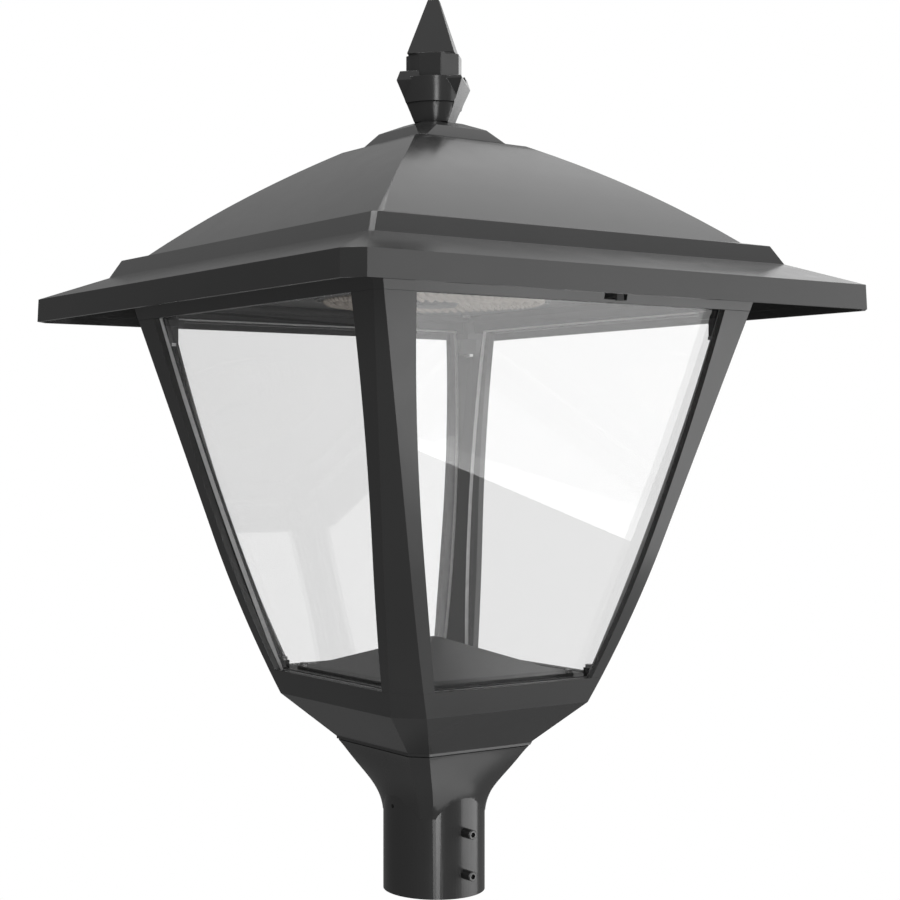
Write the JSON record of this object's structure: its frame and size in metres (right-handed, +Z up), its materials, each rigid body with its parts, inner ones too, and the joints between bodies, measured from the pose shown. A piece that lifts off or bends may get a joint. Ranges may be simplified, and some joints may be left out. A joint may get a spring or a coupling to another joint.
{
  "type": "post top lantern",
  "caption": "Square post top lantern with curved corner posts, glass panes, a hinged domed roof over a round LED lamp, a pointed finial and a round socket for a post tenon.",
  "frame": {"origin": "centre of the socket's mouth, at the bottom of the collar", "axes": "+Z up along the post, -Y the side with the roof latch, +Y the side with the roof hinge"},
  "size_m": [0.5094, 0.5094, 0.7486],
  "materials": {
    "cast_housing": "cast aluminium with a smooth satin dark grey powder coat",
    "pane_glass": "clear toughened glass",
    "black_steel": "black oxide",
    "bright_steel": "plain stainless",
    "seal_rubber": "matt black",
    "tray_paint": "grey powder coat",
    "lens_plastic": "clear moulded lens over pale yellow chips",
    "board_white": "white solder mask",
    "black_plastic": "moulded dark plastic",
    "bare_aluminium": "plain extrusion",
    "driver_case": "plain grey"
  },
  "bodies": {
    "lantern_base": {"back_pane": "pane_glass", "base_pan": "cast_housing", "clamp_screws": "bright_steel", "corner_post_back_left": "cast_housing", "corner_post_back_right": "cast_housing", "corner_post_front_left": "cast_housing", "corner_post_front_right": "cast_housing", "cover_screws": "bright_steel", "front_pane": "pane_glass", "head_frame": "cast_housing", "hinge_bracket": "tray_paint", "hinge_pin": "black_steel", "latch_guide": "tray_paint", "left_pane": "pane_glass", "neck_bolts": "bright_steel", "neck_gasket": "seal_rubber", "pane_clamps": "tray_paint", "post_fitter": "cast_housing", "post_screws": "bright_steel", "right_pane": "pane_glass", "roof_gasket": "seal_rubber", "surge_protector": "black_plastic", "terminal_block": "black_plastic", "wiring_cover": "cast_housing"},
    "roof": {"roof_shell": "cast_housing", "tray_pillars": "cast_housing", "roof_cap": "cast_housing", "finial": "cast_housing", "finial_stud": "bright_steel", "finial_nut": "bright_steel", "gear_tray": "tray_paint", "tray_screws": "bright_steel", "heat_sink": "bare_aluminium", "led_board": "board_white", "lens_plate": "lens_plastic", "lens_screws": "bright_steel", "sensor_cap": "black_plastic", "driver": "driver_case", "driver_screws": "bright_steel", "hinge_leaf": "tray_paint", "hinge_leaf_screws": "bright_steel", "latch_keeper": "tray_paint"},
    "latch": {"latch_slide": "tray_paint"},
    "set_screw_back_lower_body": {"set_screw_back_lower": "black_steel"},
    "set_screw_back_upper_body": {"set_screw_back_upper": "black_steel"},
    "set_screw_front_lower_body": {"set_screw_front_lower": "black_steel"},
    "set_screw_front_upper_body": {"set_screw_front_upper": "black_steel"}
  },
  "joints": [
    {"name": "roof_hinge", "type": "hinge", "parent": "lantern_base", "child": "roof", "pos_m": [0, 0.199, 0.488], "axis": [-1, 0, 0], "range_deg": [0, 80]},
    {"name": "latch_travel", "type": "slide", "parent": "lantern_base", "child": "latch", "axis": [1, 0, 0], "range_m": [0, 0.007]},
    {"name": "back_lower_screw_travel", "type": "slide", "parent": "lantern_base", "child": "set_screw_back_lower_body", "axis": [0, -1, 0], "range_m": [-0.002, 0.004]},
    {"name": "back_upper_screw_travel", "type": "slide", "parent": "lantern_base", "child": "set_screw_back_upper_body", "axis": [0, -1, 0], "range_m": [-0.002, 0.004]},
    {"name": "front_lower_screw_travel", "type": "slide", "parent": "lantern_base", "child": "set_screw_front_lower_body", "axis": [0, 1, 0], "range_m": [-0.002, 0.004]},
    {"name": "front_upper_screw_travel", "type": "slide", "parent": "lantern_base", "child": "set_screw_front_upper_body", "axis": [0, 1, 0], "range_m": [-0.002, 0.004]}
  ]
}
